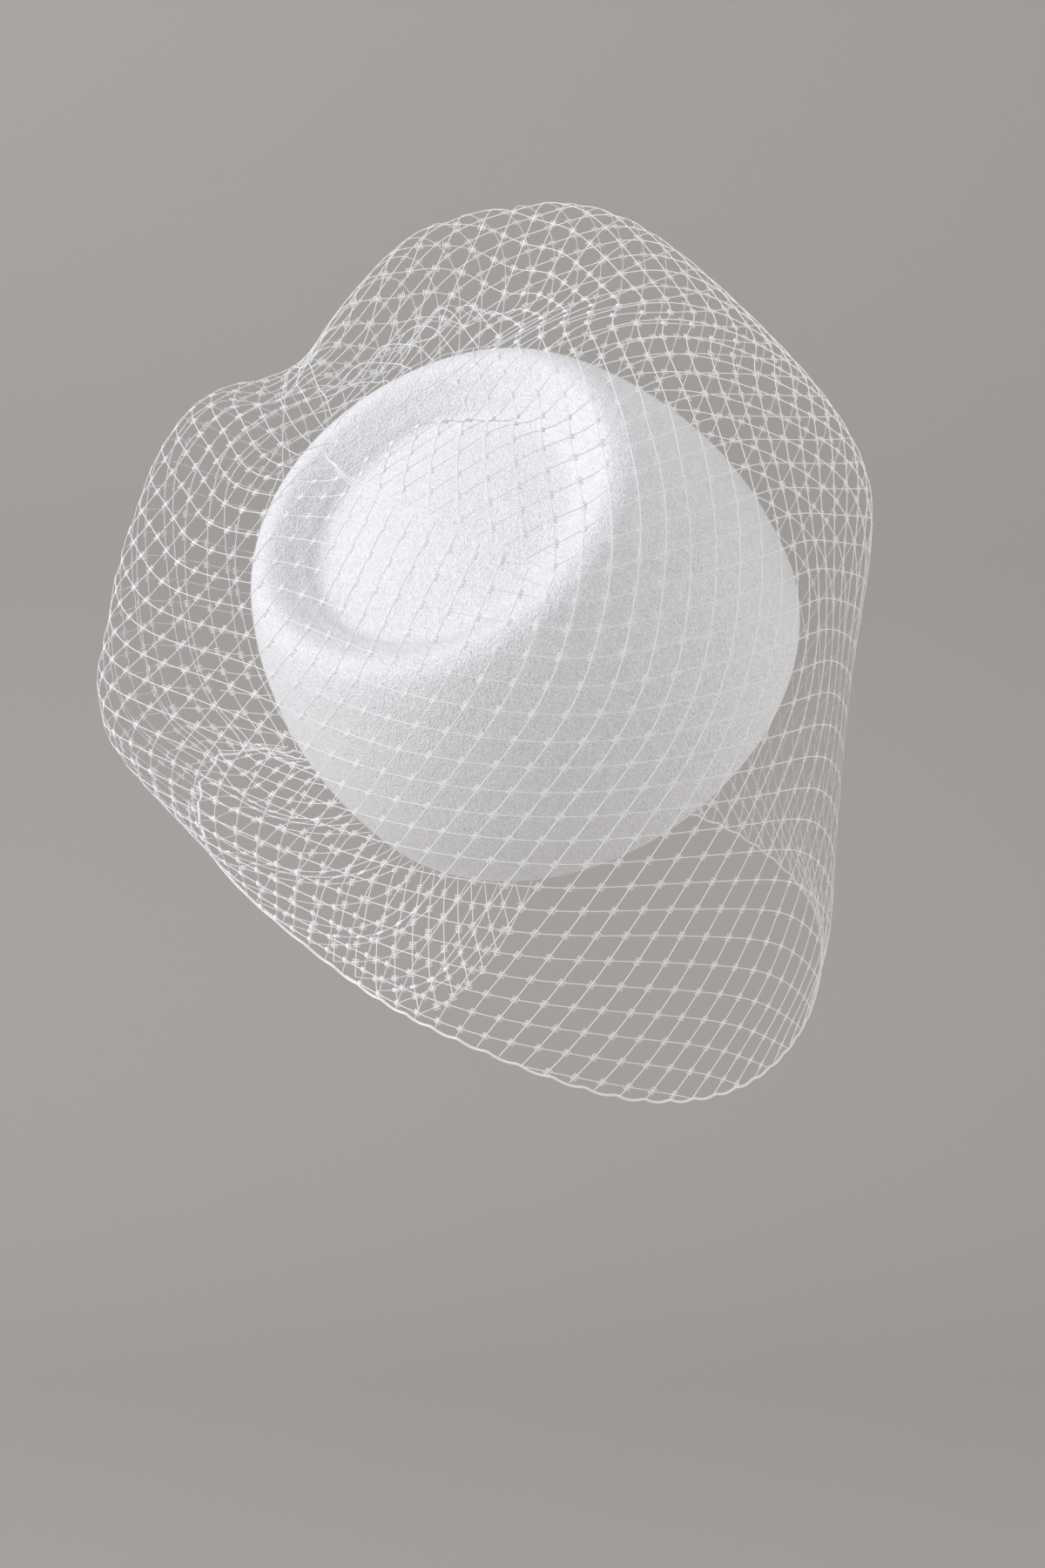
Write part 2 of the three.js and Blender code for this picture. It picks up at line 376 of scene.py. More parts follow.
# %% Geometry Nodes helpers
class Tree:
    """A Geometry Nodes tree that is built by naming nodes, with its sizes as named inputs."""

    def __init__(self, name):
        self.tree = bpy.data.node_groups.new(name, "GeometryNodeTree")
        self.tree.interface.new_socket("Geometry", in_out="INPUT", socket_type="NodeSocketGeometry")
        self.tree.interface.new_socket("Geometry", in_out="OUTPUT", socket_type="NodeSocketGeometry")
        self.inputs = self.tree.nodes.new("NodeGroupInput")
        self.output = self.tree.nodes.new("NodeGroupOutput")
        self.sizes = {}

    def size(self, name, value, kind="NodeSocketFloat"):
        socket = self.tree.interface.new_socket(name, in_out="INPUT", socket_type=kind)
        self.sizes[socket.identifier] = value
        return self.inputs.outputs[name]

    def node(self, kind, settings=None, sockets=None, out=0):
        made = self.tree.nodes.new(kind)
        for name, value in (settings or {}).items():
            setattr(made, name, value)
        for name, value in (sockets or {}).items():
            if isinstance(value, bpy.types.NodeSocket):
                self.tree.links.new(value, made.inputs[name])
            else:
                made.inputs[name].default_value = value
        return made.outputs[out]

    def finish(self, geometry, material):
        real = self.node("GeometryNodeRealizeInstances", None, {"Geometry": geometry})
        smooth = self.node("GeometryNodeSetShadeSmooth", None, {"Geometry": real})
        dressed = self.node("GeometryNodeSetMaterial", None, {"Geometry": smooth, "Material": material})
        self.tree.links.new(dressed, self.output.inputs[0])

    def grow(self, host, name):
        """Runs the tree on an object and keeps the result as a plain mesh piece."""
        modifier = host.modifiers.new(name, "NODES")
        modifier.node_group = self.tree
        for identifier, value in self.sizes.items():
            modifier[identifier] = value
        graph = bpy.context.evaluated_depsgraph_get()
        mesh = bpy.data.meshes.new_from_object(host.evaluated_get(graph))
        mesh.name = name
        host.modifiers.remove(modifier)
        piece = bpy.data.objects.new(name, mesh)
        scene.collection.objects.link(piece)
        return piece


def triangles(piece):
    piece.data.calc_loop_triangles()
    return len(piece.data.loop_triangles)


print("geometry nodes helpers ready")

# %% Nap of the felt
NAP_PER_SQUARE_METRE = 420000.0
NAP_LENGTH = 0.9
NAP_WIDTH = 0.045
NAP_SIDES = 3
NAP_LEAN = 1.25
NAP_GLOSS = 0.1
NAP_SEED = 11


def nap_material():
    material, shader, place = new_material("felt_nap")
    feed(shader, "Base Color", blend_colours(noise(place, PILL_SIZE), FELT_GREY, FELT_WHITE))
    shader.inputs["Roughness"].default_value = 1.0
    shader.inputs["Specular IOR Level"].default_value = NAP_GLOSS
    return material


def nap_tree():
    nap = Tree("felt_nap")
    density = nap.size("Fibres per square metre", NAP_PER_SQUARE_METRE)
    length = nap.size("Fibre length", NAP_LENGTH * MM)
    width = nap.size("Fibre width", NAP_WIDTH * MM)
    faces = {"Mesh": nap.inputs.outputs["Geometry"], "Density": density, "Seed": NAP_SEED}
    points = nap.node("GeometryNodeDistributePointsOnFaces", None, faces, "Points")
    upright_turn = points.node.outputs["Rotation"]
    low, high = (-NAP_LEAN, -NAP_LEAN, 0.0), (NAP_LEAN, NAP_LEAN, 2 * math.pi)
    spread = {"Min": low, "Max": high, "Seed": NAP_SEED}
    tilt = nap.node("FunctionNodeRandomValue", {"data_type": "FLOAT_VECTOR"}, spread)
    turn = nap.node("FunctionNodeEulerToRotation", None, {"Euler": tilt})
    rotated = {"Rotation": upright_turn, "Rotate By": turn}
    rotation = nap.node("FunctionNodeRotateRotation", {"rotation_space": "LOCAL"}, rotated)
    cone = {"Vertices": NAP_SIDES, "Radius Top": 0.0, "Radius Bottom": width, "Depth": length}
    fibre = nap.node("GeometryNodeMeshCone", {"fill_type": "NONE"}, cone)
    placed = {"Points": points, "Instance": fibre, "Rotation": rotation}
    nap.finish(nap.node("GeometryNodeInstanceOnPoints", None, placed), nap_material())
    return nap


felt_nap = nap_tree().grow(felt_crown, "felt_nap")
print("nap:", triangles(felt_nap), "triangles")

# %% [markdown]
# ## The lie of the veil
# The net is a strip of square mesh with no cloth between its threads, so it shears wherever it is pulled.
# Its lie is described in two steps. First comes a smooth bell: at every bearing round the head, a curve
# runs from the tack over the crown, out to a shoulder, down the fall and to the hem. A bearing is counted
# in turns from the wearer's left by way of the back, and a share runs from 0 at the tack to 1 at the hem.
# Where the bell would cut the felt it is pushed out to lie on it. Five folds are pressed in, and one
# stretch is ruffled.

# %% Bell of the veil
# At every twelfth of a turn: height over the crown, then reach and height of shoulder, fall and hem.
VEIL_SECTIONS = np.array([
    (148, 119, 66, 96, -42, 101, -94),
    (147, 123, 67, 100, -42, 102, -90),
    (137, 124, 68, 106, -37, 104, -80),
    (109, 125, 64, 120, -31, 109, -66),
    (86, 141, 70, 148, -22, 128, -48),
    (64, 146, 24, 155, -12, 124, -57),
    (60, 116, 10, 119, -32, 101, -84),
    (74, 115, 22, 112, -44, 103, -96),
    (92, 108, 35, 107, -58, 104, -115),
    (109, 99, 48, 105, -66, 96, -127),
    (120, 92, 56, 102, -71, 97, -120),
    (127, 113, 62, 93, -54, 102, -105),
], float)
CROWN_SHARE = 0.55
TACK_PLACE = (13.0, 50.0)
NET_CLEARANCE = 1.3
# Bearing and half width in turns, depth, and the shares at which the fold begins and ends.
FOLDS = (
    (0.975, 0.04, 6, 0.02, 0.30),
    (0.72, 0.03, 9, 0.02, 0.36),
    (0.29, 0.03, 14, 0.12, 0.42),
    (0.17, 0.08, 28, 0.075, 0.22),
    (0.05, 0.08, 26, 0.11, 0.25),
)
# Bearing and half width in turns, height, waves in a turn, and the shares of the ruffle's two ends.
RUFFLES = (
    (0.31, 0.06, 5.0, 36, 0.40, 1.15),
)
RUFFLE_SWAY = 2.0
RUFFLE_BENDS = 9.0
FELT_CORE = 35.0
FELT_CURVE_STEPS = 400
NEAR_ZERO = 1e-12
felt_curve = felt_section(FELT_CURVE_STEPS) - (0, FELT_CORE)
felt_angles = np.arctan2(felt_curve[:, 1], felt_curve[:, 0])[::-1]
felt_reaches = np.hypot(felt_curve[:, 0], felt_curve[:, 1])[::-1]


def clear_of_felt(points, clearance):
    """Moves points out from the middle of the crown until they clear the felt."""
    ray = upright(points) - (0, 0, FELT_CORE)
    across = np.hypot(ray[..., 0], ray[..., 1])
    reach = np.hypot(across, ray[..., 2])
    angle = np.arctan2(ray[..., 2], across)
    limit = np.interp(angle, felt_angles, felt_reaches) + clearance
    inside = (angle > felt_angles[0]) & (reach < limit)
    grow = np.where(inside, limit / np.maximum(reach, NEAR_ZERO), 1.0)
    return lean(ray * grow[..., None] + (0, 0, FELT_CORE))


def swell(turn, share, bearing, half, begin, end):
    """A hump that is 1 at its bearing and midway between its two shares, and dies away round them."""
    away = np.abs(turn % 1.0 - bearing)
    across = np.minimum(away, 1 - away) / half
    along = np.clip((share - begin) / (end - begin), 0, 1)
    return np.outer(np.sin(math.pi * along) ** 2, np.exp(-(across**2)))


def fold_depth(turn, share):
    depth = np.zeros((len(share), len(turn)))
    for bearing, half, deep, begin, end in FOLDS:
        depth += deep * swell(turn, share, bearing, half, begin, end)
    return depth


def ruffle_height(turn, share):
    height = np.zeros((len(share), len(turn)))
    for bearing, half, high, waves, begin, end in RUFFLES:
        sway = RUFFLE_SWAY * np.sin(RUFFLE_BENDS * share)[:, None]
        wave = np.sin(2 * math.pi * waves * turn + sway)
        height += high * wave * swell(turn, share, bearing, half, begin, end)
    return height


def veil_rings():
    bearing = np.arange(len(VEIL_SECTIONS)) / len(VEIL_SECTIONS) * 2 * math.pi
    way = np.stack([np.cos(bearing), np.sin(bearing)], axis=1)
    crown_height, shoulder, shoulder_height, fall, fall_height, hem, hem_height = VEIL_SECTIONS.T
    over = tack[:2] + (way * shoulder[:, None] - tack[:2]) * CROWN_SHARE
    plans = (over, way * shoulder[:, None], way * fall[:, None], way * hem[:, None])
    heights = (crown_height, shoulder_height, fall_height, hem_height)
    return [np.column_stack([plan, height]) for plan, height in zip(plans, heights)]


def veil_points(turn, share):
    """Points of the veil in millimetres, one row for each share and one column for each bearing."""
    places = (turn % 1.0) * len(VEIL_SECTIONS)
    rings = [smooth_through(ring, places, "closed") for ring in veil_rings()]
    meridians = np.stack([np.broadcast_to(tack, rings[0].shape), *rings])
    points = smooth_through(meridians, share * (len(meridians) - 1))
    points[..., 2] -= fold_depth(turn, share)
    way = np.stack([np.cos(2 * math.pi * turn), np.sin(2 * math.pi * turn)], axis=1)
    points[..., :2] += way * ruffle_height(turn, share)[..., None]
    return clear_of_felt(points, NET_CLEARANCE)


tack_upright = np.array([TACK_PLACE[0], TACK_PLACE[1] / OVAL, CREST_HEIGHT - DISH_DEPTH])
tack = clear_of_felt(lean(tack_upright), NET_CLEARANCE)
print("tack at", tack.round(1), "mm")

# %% [markdown]
# ## Laying the net on the bell
# Second comes the mesh itself. Every crossing of the net has two whole numbers, counted along the two
# families of threads. So the net is laid once two number fields are known over the whole bell: where both
# are whole, a knot sits. Each field should grow by one for every cell along its own threads, and not at
# all along the others. The way the threads lean is written down at some places, as angles above the level
# line, with the size of a cell, which is smaller where the net is gathered. Between them both are blended,
# and a least-squares solve finds the fields that follow them best. Threads don't stretch, so a few more
# rounds keep the directions found and ask again for cells of the right size. The net is open along a seam
# at the back and along the pleat in the dish.

# %% Guides for the threads
SEAM_TURN = 0.27
# Bearing in turns, share, the lean in degrees of the steep and the level threads, and the cell's size.
THREAD_GUIDES = np.array([
    (0.348, 0.325, 172, 73, 8.2),
    (0.39, 0.21, 168, 51, 8.2),
    (0.43, 0.36, 107, 10, 8.2),
    (0.45, 0.48, 87, 4, 8.2),
    (0.45, 0.75, 85, 0, 8.2),
    (0.50, 0.43, 65, -4, 9.7),
    (0.56, 0.32, 45, -33, 9.7),
    (0.57, 0.52, 46, -15, 9.7),
    (0.60, 0.63, 53, -7, 9.7),
    (0.65, 0.58, 48, -11, 9.7),
    (0.64, 0.72, 62, 4, 9.7),
    (0.64, 0.85, 63, 3, 9.7),
    (0.69, 0.35, 74, -2, 9.7),
    (0.71, 0.44, 58, -28, 9.7),
    (0.71, 0.53, 68, -22, 9.7),
    (0.71, 0.73, 67, -12, 9.7),
    (0.72, 0.255, 54, -14, 9.7),
    (0.80, 0.75, 65, -15, 9.7),
    (0.86, 0.44, 54, -18, 8.4),
    (0.89, 0.275, 22, -45, 8.4),
    (0.96, 0.13, -15, -69, 8.4),
    (0.98, 0.076, 2, -70, 8.4),
    (1.08, 0.22, -40, -111, 8.4),
    (1.125, 0.21, -25, -118, 8.4),
    (1.20, 0.21, -57, -164, 8.4),
    (1.00, 0.50, 15, -60, 8.4),
    (1.00, 0.85, 30, -55, 9.7),
    (1.20, 0.50, -50, -140, 8.4),
    (1.20, 0.85, -40, -130, 9.7),
])
# The pleat runs from the tack across the dish: bearing in turns, and share.
PLEAT = np.array([(0.40, 0.0), (0.517, 0.09), (0.575, 0.24), (0.606, 0.31), (0.633, 0.37), (0.647, 0.40)])
PLEAT_END = PLEAT[-1, 1]
GUIDE_BLUR = 15.0
GUIDE_FADE = 1.5
PLEAT_LEAK = 0.001
ROUND_THE_VEIL = 620.0
DOWN_THE_VEIL = 340.0


def pleat_turn(share):
    """The bearing of the pleat at each share."""
    return np.interp(share, PLEAT[:, 1], PLEAT[:, 0])


def pleat_side(turn, share):
    """Which side of the pleat a place is on, or 0 past its end."""
    return np.where(share < PLEAT_END, np.sign(turn - pleat_turn(share)), 0)


def guided(turn, share):
    """The two leans and the cell at each place, blended from the guides on the same side of the pleat."""
    guide_turn, guide_share, steep, level, cell = THREAD_GUIDES.T
    round_way = (turn[:, None] - guide_turn) * ROUND_THE_VEIL
    down_way = (share[:, None] - guide_share) * DOWN_THE_VEIL
    weight = (round_way**2 + down_way**2 + GUIDE_BLUR**2) ** -GUIDE_FADE
    apart = pleat_side(turn, share)[:, None] * pleat_side(guide_turn, guide_share) < 0
    weight = np.where(apart, PLEAT_LEAK * weight, weight)
    weight /= weight.sum(axis=1, keepdims=True)
    return np.radians(weight @ steep), np.radians(weight @ level), weight @ cell


print("guides:", len(THREAD_GUIDES), "places")

# %% A mesh of the bell to solve on
BEARINGS = 230
SHARES = 120
FLAT_TRIANGLE = 1e-4
LEAST_STRENGTH = 1e-9
LEAST_PULL = 1e-30


class Bell:
    """The open bell as triangles, with what a solve on it needs."""

    def __init__(self):
        turn = SEAM_TURN + np.linspace(0, 1, BEARINGS)
        share = np.linspace(0, 1, SHARES)
        self.points = veil_points(turn, share).reshape(-1, 3)
        self.turn = np.tile(turn, SHARES)
        self.share = np.repeat(share, BEARINGS)
        self.triangles = self.uncut_triangles()
        self.measure()

    def uncut_triangles(self):
        index = np.arange(SHARES * BEARINGS).reshape(SHARES, BEARINGS)
        a, b, c, d = index[:-1, :-1], index[:-1, 1:], index[1:, 1:], index[1:, :-1]
        upper = np.stack([a, b, c], axis=-1).reshape(-1, 3)
        lower = np.stack([a, c, d], axis=-1).reshape(-1, 3)
        every = np.concatenate([upper, lower])
        side = np.sign(self.turn - pleat_turn(self.share))[every]
        crossed = (side.min(axis=1) != side.max(axis=1)) & (self.share[every].mean(axis=1) < PLEAT_END)
        first, second, third = (self.points[every[:, corner]] for corner in range(3))
        flat = np.linalg.norm(np.cross(second - first, third - first), axis=1) < FLAT_TRIANGLE
        return every[~crossed & ~flat]

    def measure(self):
        """Normals, areas and the slopes of each corner's weight, for every triangle."""
        first, second, third = (self.points[self.triangles[:, corner]] for corner in range(3))
        normal = np.cross(second - first, third - first)
        double = np.linalg.norm(normal, axis=1)
        self.normal = normal / double[:, None]
        self.area = double / 2
        sides = (third - second, first - third, second - first)
        slopes = [np.cross(self.normal, side) / double[:, None] for side in sides]
        self.slopes = np.stack(slopes, axis=1)
        strength = (self.slopes**2).sum(axis=2) * self.area[:, None]
        self.diagonal = np.maximum(self.gather(strength), LEAST_STRENGTH)

    def gather(self, corner_values):
        return np.bincount(self.triangles.ravel(), corner_values.ravel(), len(self.points))

    def slope(self, field):
        return np.einsum("tk,tkd->td", field[self.triangles], self.slopes)

    def spread(self, vectors):
        """Adds up a vector field as the pull that it has on each point."""
        return self.gather(np.einsum("td,tkd->tk", vectors * self.area[:, None], self.slopes))

    def solve(self, wanted, field, steps):
        """The field whose slope is nearest the wanted one, by conjugate gradients from a first guess."""
        rest = self.spread(wanted - self.slope(field))
        eased = rest / self.diagonal
        way = eased
        gain = rest @ eased
        for _ in range(steps):
            pulled = self.spread(self.slope(way))
            stride = gain / max(way @ pulled, LEAST_PULL)
            field = field + stride * way
            rest = rest - stride * pulled
            eased = rest / self.diagonal
            gain, last_gain = rest @ eased, gain
            way = eased + gain / max(last_gain, LEAST_PULL) * way
        return field


bell = Bell()
print("bell:", len(bell.triangles), "triangles,", round(bell.area.sum() / 100), "square centimetres")

# %% Two number fields
FIRST_STEPS = 700
MORE_STEPS = 250
ROUNDS = 8
GUIDE_SHARE = 0.25
LEAST_SHEAR = 0.15


def unit(vectors):
    return vectors / np.maximum(np.linalg.norm(vectors, axis=1, keepdims=True), NEAR_ZERO)


def guide_directions():
    """The wanted ways of the two thread families on every triangle, and the wanted size of a cell."""
    fall = bell.slope(bell.share)
    level = np.cross(fall, bell.normal)
    level *= np.sign((level * bell.slope(bell.turn)).sum(axis=1))[:, None]
    level = unit(level)
    rise = unit(-fall)
    turn = bell.turn[bell.triangles].mean(axis=1)
    share = bell.share[bell.triangles].mean(axis=1)
    *leans, cell = guided(turn, share)
    ways = [np.cos(angle)[:, None] * level + np.sin(angle)[:, None] * rise for angle in leans]
    return *ways, cell


def wanted_slopes(steep, level, cell):
    """Slopes that count one for each cell along their own threads and nothing along the others."""
    share = (steep * level).sum(axis=1)
    scale = (cell * np.maximum(1 - share**2, LEAST_SHEAR))[:, None]
    return (steep - share[:, None] * level) / scale, (level - share[:, None] * steep) / scale


def thread_ways(first, second):
    """The ways in which the two fields' own threads run."""
    slope_first, slope_second = bell.slope(first), bell.slope(second)
    steep = np.cross(bell.normal, slope_second)
    level = np.cross(bell.normal, slope_first)
    steep *= np.sign((steep * slope_first).sum(axis=1))[:, None]
    level *= np.sign((level * slope_second).sum(axis=1))[:, None]
    return unit(steep), unit(level)


def number_fields():
    guide_steep, guide_level, cell = guide_directions()
    nothing = np.zeros(len(bell.points))
    wanted = wanted_slopes(guide_steep, guide_level, cell)
    fields = [bell.solve(slope, nothing, FIRST_STEPS) for slope in wanted]
    for _ in range(ROUNDS):
        steep, level = thread_ways(*fields)
        steep = unit(steep + GUIDE_SHARE * guide_steep)
        level = unit(level + GUIDE_SHARE * guide_level)
        wanted = wanted_slopes(steep, level, cell)
        fields = [bell.solve(slope, field, MORE_STEPS) for slope, field in zip(wanted, fields)]
    return fields


steep_count, level_count = number_fields()
print("cells along the two families:", round(np.ptp(steep_count)), "and", round(np.ptp(level_count)))

# %% [markdown]
# ## From numbers to threads
# A thread is a line on which one of the fields is whole. It is followed in quarters of a cell, so that it
# bends with the bell and stays off the felt, and it is carried on to the hem, the seam or the pleat where
# it ends.

# %% Following the threads
QUARTERS = 4
LONGEST_STEP = 6.0
WHOLES_TRIED = 3
EDGE_SLACK = 1e-9


def whole_places(first, second):
    """Places where both scaled fields are whole: {(first, second): (point, triangle)}."""
    corners = bell.triangles
    one, two = first[corners], second[corners]
    found = {}
    for step in range(WHOLES_TRIED**2):
        at_one = np.ceil(one.min(axis=1)) + step % WHOLES_TRIED
        at_two = np.ceil(two.min(axis=1)) + step // WHOLES_TRIED
        near = np.nonzero((at_one <= one.max(axis=1)) & (at_two <= two.max(axis=1)))[0]
        u, v = one[near], two[near]
        span = (u[:, 1] - u[:, 0]) * (v[:, 2] - v[:, 0]) - (u[:, 2] - u[:, 0]) * (v[:, 1] - v[:, 0])
        span = np.where(np.abs(span) < NEAR_ZERO, NEAR_ZERO, span)
        off_u, off_v = at_one[near] - u[:, 0], at_two[near] - v[:, 0]
        second_share = (off_u * (v[:, 2] - v[:, 0]) - (u[:, 2] - u[:, 0]) * off_v) / span
        third_share = ((u[:, 1] - u[:, 0]) * off_v - off_u * (v[:, 1] - v[:, 0])) / span
        shares = np.stack([1 - second_share - third_share, second_share, third_share], axis=1)
        inside = shares.min(axis=1) > -EDGE_SLACK
        points = np.einsum("tk,tkd->td", shares, bell.points[corners[near]])
        for place in np.nonzero(inside)[0]:
            key = (int(at_one[near[place]]), int(at_two[near[place]]))
            found.setdefault(key, (points[place], near[place]))
    return found


def border_edges():
    """Edges of the bell that only one triangle has: the hem, the seam and the two sides of the pleat."""
    sides = np.concatenate([bell.triangles[:, pair] for pair in ([0, 1], [1, 2], [2, 0])])
    sides.sort(axis=1)
    edges, count = np.unique(sides, axis=0, return_counts=True)
    return edges[count == 1]


def border_ends(whole_field, run_field):
    """Where threads meet the border: rows of the thread's number, the count along it, and the point."""
    edges = border_edges()
    from_value, to_value = whole_field[edges[:, 0]], whole_field[edges[:, 1]]
    number = np.ceil(np.minimum(from_value, to_value))
    met = (number <= np.maximum(from_value, to_value)) & (from_value != to_value)
    edges, number = edges[met], number[met]
    from_value, to_value = from_value[met], to_value[met]
    share = (number - from_value) / (to_value - from_value)
    run = run_field[edges[:, 0]] * (1 - share) + run_field[edges[:, 1]] * share
    points = bell.points[edges[:, 0]] * (1 - share)[:, None] + bell.points[edges[:, 1]] * share[:, None]
    return list(zip(number.astype(int), run, points))


def follow(run_field, whole_field):
    """Every thread of one family as a list of points."""
    places = whole_places(run_field * QUARTERS, whole_field)
    threads = []
    for key in sorted(places, key=lambda place: (place[1], place[0])):
        point = places[key][0]
        last = threads[-1] if threads else None
        joins = last and last["number"] == key[1] and last["to"] == key[0] - 1
        if joins and np.linalg.norm(last["points"][-1] - point) < LONGEST_STEP:
            last["points"].append(point)
            last["to"] = key[0]
        else:
            threads.append({"number": key[1], "from": key[0], "to": key[0], "points": [point]})
    carry_to_border(threads, border_ends(whole_field, run_field * QUARTERS))
    return [np.array(thread["points"]) for thread in threads if len(thread["points"]) > 2]


def carry_to_border(threads, ends):
    for number, run, point in ends:
        for thread in threads:
            if thread["number"] != number:
                continue
            if 0 < thread["from"] - run <= 1 and np.linalg.norm(thread["points"][0] - point) < LONGEST_STEP:
                thread["points"].insert(0, point)
                break
            if 0 < run - thread["to"] <= 1 and np.linalg.norm(thread["points"][-1] - point) < LONGEST_STEP:
                thread["points"].append(point)
                break


steep_threads = follow(steep_count, level_count)
level_threads = follow(level_count, steep_count)
knots = whole_places(steep_count, level_count)
print("threads:", len(steep_threads), "and", len(level_threads), "with", len(knots), "knots")

# %% [markdown]
# ## The tucked end of the strip
# The strip is longer than the way round the hat. What is left over is turned in at the hem and caught
# under the edge of the rim, from the back round the wearer's right, where it shows through the outer net
# as a second layer. It could be laid by the same solve, but it hangs slack, so two sets of slanting lines
# on a waved surface will do.

# %% A second layer between hem and rim
TUCK_TURNS = (0.29, 0.61)
TUCK_HEM = 0.985
TUCK_COLUMNS = 23
TUCK_ROWS = 4
TUCK_BELOW = 0.6
TUCK_SAG = 7.0
TUCK_RUFFLE = 3.0
TUCK_WAVES = 17
TUCK_SWAY = 1.5
STEPS_PER_CELL = 8
RIM_BEARINGS = 361


def rim_points(turn):
    """Points just under the middle of the felt's rim at the given bearings."""
    around = np.linspace(-math.pi, math.pi, RIM_BEARINGS)
    half = FELT_SECTIONS[-1, 0] - FELT_THICKNESS / 2
    rim = lean(np.stack([half * np.cos(around), half * np.sin(around), 0 * around - TUCK_BELOW], axis=1))
    bearing = np.unwrap(np.arctan2(rim[:, 1], rim[:, 0])) / (2 * math.pi)
    place = bearing[0] + (turn - bearing[0]) % 1.0
    return np.stack([np.interp(place, bearing, axis) for axis in rim.T], axis=1)


def tuck_points(column, row):
    """Points of the tucked end at places counted in cells from the back and from the rim."""
    turn = np.interp(column, (0, TUCK_COLUMNS), TUCK_TURNS)
    fall = (row / TUCK_ROWS)[:, None]
    hem = veil_points(turn, np.array([TUCK_HEM]))[0]
    wave = np.sin(2 * math.pi * TUCK_WAVES * turn[:, None] + TUCK_SWAY * row[:, None])
    points = rim_points(turn) * (1 - fall) + hem * fall
    points[:, 2:] += np.sin(math.pi * fall) * (TUCK_RUFFLE * wave - TUCK_SAG)
    return points


def in_tuck(column, row):
    """Whether a place lies between the two threads along which the tucked end was cut."""
    return (column + row >= TUCK_ROWS) & (column + row <= TUCK_COLUMNS)


def tuck_threads():
    threads = []
    steps = np.arange(TUCK_ROWS * STEPS_PER_CELL + 1) / STEPS_PER_CELL
    for slant in (-1, 1):
        for start in range(-TUCK_ROWS, TUCK_COLUMNS + 1):
            column = start + slant * steps
            inside = in_tuck(column, steps)
            if inside.sum() > 1:
                threads.append(tuck_points(column[inside], steps[inside]))
    return threads


def tuck_crossings():
    """Places of the tucked end's crossings, with the way of a thread and the way out at each."""
    half_steps = np.arange(1, 2 * TUCK_ROWS)
    places = [(step % 2 / 2 + column, step / 2) for step in half_steps for column in range(TUCK_COLUMNS)]
    column, row = np.array(places).T
    inside = in_tuck(column, row)
    column, row = column[inside], row[inside]
    points = tuck_points(column, row)
    slip = 1 / STEPS_PER_CELL
    along = unit(tuck_points(column + slip, row + slip) - points)
    across = unit(tuck_points(column + slip, row - slip) - points)
    return points, along, unit(np.cross(across, along))


tucked_threads = tuck_threads()
tucked_knots, tucked_along, tucked_out = tuck_crossings()
print("tucked end:", len(tucked_threads), "threads with", len(tucked_knots), "knots")

# %% [markdown]
# ## Netting thread
# The thread is a fine, slightly shiny white yarn. One tree turns any set of lines into tubes: the lines
# become curves and a small circle is swept along each. The radius and the number of sides are its inputs.

# %% Thread material and tubes
THREAD_WHITE = (0.82, 0.818, 0.81, 1)
THREAD_SHADE = (0.71, 0.708, 0.70, 1)
THREAD_WIDTH = 0.36
TUCK_THREAD_WIDTH = 0.32
YARN_SIZE = 0.6
YARN_SHADE = 0.6
YARN_CLOUD = 9
YARN_CLOUD_SHADE = 0.4
YARN_ROUGHNESS = 0.5
YARN_ROUGHER = 0.25
YARN_RELIEF = 0.1
YARN_RISE = 0.4
YARN_SHEEN = 0.2
TUBE_SIDES = 5


def thread_material():
    material, shader, place = new_material("white_thread")
    yarn = noise(place, YARN_SIZE)
    clouds = noise(place, YARN_CLOUD, detail=1.0)
    shade = YARN_SHADE * yarn + YARN_CLOUD_SHADE * clouds
    feed(shader, "Base Color", blend_colours(shade, THREAD_SHADE, THREAD_WHITE))
    feed(shader, "Roughness", YARN_ROUGHNESS + YARN_ROUGHER * yarn)
    emboss(shader, yarn, YARN_RELIEF, YARN_RISE)
    shader.inputs["Sheen Weight"].default_value = YARN_SHEEN
    return material


thread = thread_material()


def line_host(name, lines):
    """A mesh of bare edges in metres, one chain for each line of points in millimetres."""
    vertices = np.concatenate(lines) * MM
    edges = []
    start = 0
    for line in lines:
        edges += [(start + step, start + step + 1) for step in range(len(line) - 1)]
        start += len(line)
    return new_piece(name, vertices, (), None, edges)


def tube_tree(width):
    tubes = Tree("thread_tubes")
    radius = tubes.size("Thread radius", width / 2 * MM)
    sides = tubes.size("Sides", TUBE_SIDES, "NodeSocketInt")
    curve = tubes.node("GeometryNodeMeshToCurve", None, {"Mesh": tubes.inputs.outputs["Geometry"]})
    circle = tubes.node("GeometryNodeCurvePrimitiveCircle", None, {"Resolution": sides, "Radius": radius})
    swept = {"Curve": curve, "Profile Curve": circle, "Fill Caps": True}
    tubes.finish(tubes.node("GeometryNodeCurveToMesh", None, swept), thread)
    return tubes


def add_tubes(name, lines, width):
    host = line_host(name + "_lines", lines)
    piece = tube_tree(width).grow(host, name)
    bpy.data.objects.remove(host)
    return piece


veil_net = add_tubes("veil_net", steep_threads + level_threads, THREAD_WIDTH)
veil_tuck = add_tubes("veil_tuck", tucked_threads, TUCK_THREAD_WIDTH)
print("net and tucked end:", triangles(veil_net), triangles(veil_tuck), "triangles")
